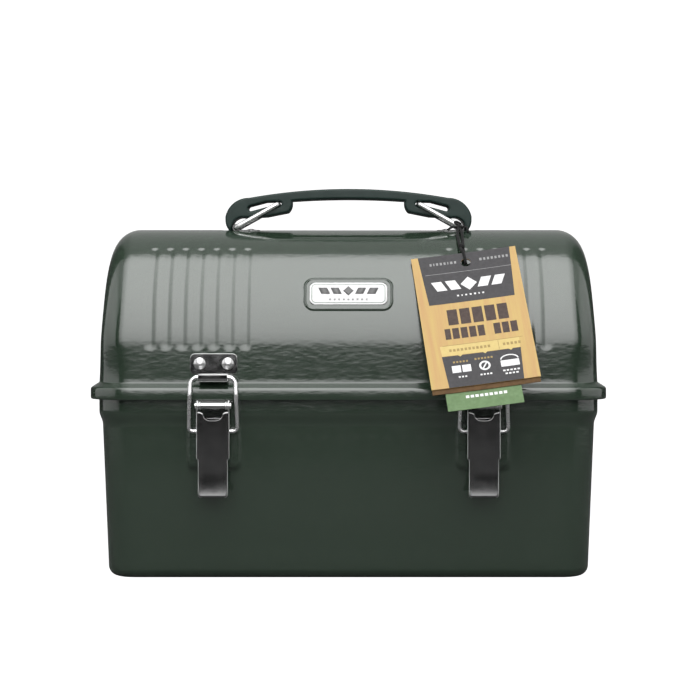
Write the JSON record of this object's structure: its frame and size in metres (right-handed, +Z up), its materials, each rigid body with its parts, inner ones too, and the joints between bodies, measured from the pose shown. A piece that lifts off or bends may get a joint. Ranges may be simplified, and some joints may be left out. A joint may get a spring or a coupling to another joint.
{
  "type": "lunch box",
  "caption": "Domed steel lunch box with draw latches, a rear-hinged lid, a sliding-link carry handle, a bottle wire inside the lid and a card swing tag.",
  "frame": {"origin": "middle of the underside, on the surface the box stands on", "axes": "+X along the length, -Y out of the front with the latches, +Z up"},
  "size_m": [0.3312, 0.209, 0.251],
  "materials": {
    "enamel": "glossy hammered enamel",
    "badge_rim": "gloss",
    "badge_plate": "gloss",
    "hinge_steel": "satin",
    "rivet_steel": "satin",
    "latch_chrome": "polished",
    "grip_plastic": "satin",
    "handle_wire": "polished",
    "bracket_steel": "satin",
    "bottle_wire": "polished",
    "tag_kraft": "matt card",
    "tag_green": "matt card",
    "tag_cord": "braided"
  },
  "bodies": {
    "box": {"body_shell": "enamel", "latch_base_left": "latch_chrome", "latch_base_right": "latch_chrome", "latch_base_rivets": "rivet_steel", "hinge_body_leaf_left": "hinge_steel", "hinge_body_leaf_right": "hinge_steel", "hinge_body_rivets": "rivet_steel", "hinge_pin_left": "hinge_steel", "hinge_pin_right": "hinge_steel"},
    "lid": {"lid_shell": "enamel", "keeper_left": "latch_chrome", "keeper_right": "latch_chrome", "keeper_rivets": "rivet_steel", "hinge_lid_leaf_left": "hinge_steel", "hinge_lid_leaf_right": "hinge_steel", "hinge_lid_rivets": "rivet_steel", "handle_bracket_left": "bracket_steel", "handle_bracket_right": "bracket_steel", "handle_bracket_rivets": "rivet_steel", "badge_bezel": "badge_rim", "badge_plate": "badge_plate", "bottle_saddle_left": "bottle_wire", "bottle_saddle_right": "bottle_wire", "bottle_clip": "bottle_wire"},
    "latch_lever_left": {"latch_lever_left": "latch_chrome", "latch_lever_pin_left": "latch_chrome"},
    "latch_lever_right": {"latch_lever_right": "latch_chrome", "latch_lever_pin_right": "latch_chrome"},
    "latch_bail_left": {"latch_bail_left": "latch_chrome"},
    "latch_bail_right": {"latch_bail_right": "latch_chrome"},
    "handle_grip": {"handle_grip": "grip_plastic"},
    "handle_link_left": {"handle_link_left": "handle_wire"},
    "handle_link_right": {"handle_link_right": "handle_wire"},
    "bottle_wire": {"bottle_wire": "bottle_wire"},
    "tag": {"tag_card": "tag_kraft", "tag_inner_card": "tag_green", "tag_cord": "tag_cord", "tag_cord_knot_top": "tag_cord", "tag_cord_knot_mid": "tag_cord"}
  },
  "joints": [
    {"name": "lid_hinge", "type": "hinge", "parent": "box", "child": "lid", "pos_m": [0, 0.0835, 0.111], "axis": [-1, 0, 0], "range_deg": [0, 105]},
    {"name": "grip_lift", "type": "slide", "parent": "lid", "child": "handle_grip", "axis": [0, 0, 1], "range_m": [0, 0.0171]},
    {"name": "link_turn_left", "type": "hinge", "parent": "lid", "child": "handle_link_left", "pos_m": [-0.0748, 0, 0.2252], "axis": [0, -1, 0], "range_deg": [0, 41]},
    {"name": "link_turn_right", "type": "hinge", "parent": "lid", "child": "handle_link_right", "pos_m": [0.0748, 0, 0.2252], "axis": [0, 1, 0], "range_deg": [0, 41]},
    {"name": "bottle_wire_hinge", "type": "hinge", "parent": "lid", "child": "bottle_wire", "pos_m": [0, 0.0705, 0.127], "axis": [1, 0, 0], "range_deg": [0, 55]},
    {"name": "tag_swing", "type": "hinge", "parent": "lid", "child": "tag", "pos_m": [0.0733, -0.0167, 0.225], "axis": [0, -0.8, 0.6], "range_deg": [-8, 8]},
    {"name": "lever_left", "type": "hinge", "parent": "box", "child": "latch_lever_left", "pos_m": [-0.085, -0.083, 0.1108], "axis": [-1, 0, 0], "range_deg": [0, 80]},
    {"name": "bail_left", "type": "hinge", "parent": "latch_lever_left", "child": "latch_bail_left", "pos_m": [-0.085, -0.0822, 0.0947], "axis": [-1, 0, 0], "range_deg": [-47, 0]},
    {"name": "lever_right", "type": "hinge", "parent": "box", "child": "latch_lever_right", "pos_m": [0.085, -0.083, 0.1108], "axis": [-1, 0, 0], "range_deg": [0, 80]},
    {"name": "bail_right", "type": "hinge", "parent": "latch_lever_right", "child": "latch_bail_right", "pos_m": [0.085, -0.0822, 0.0947], "axis": [-1, 0, 0], "range_deg": [-47, 0]}
  ],
  "couplings": [
    {"joint": "link_turn_left", "follows": "grip_lift", "rad_per_m": 41.745},
    {"joint": "link_turn_right", "follows": "grip_lift", "rad_per_m": 41.745},
    {"joint": "bail_left", "follows": "lever_left", "ratio": -0.58},
    {"joint": "bail_right", "follows": "lever_right", "ratio": -0.58}
  ]
}
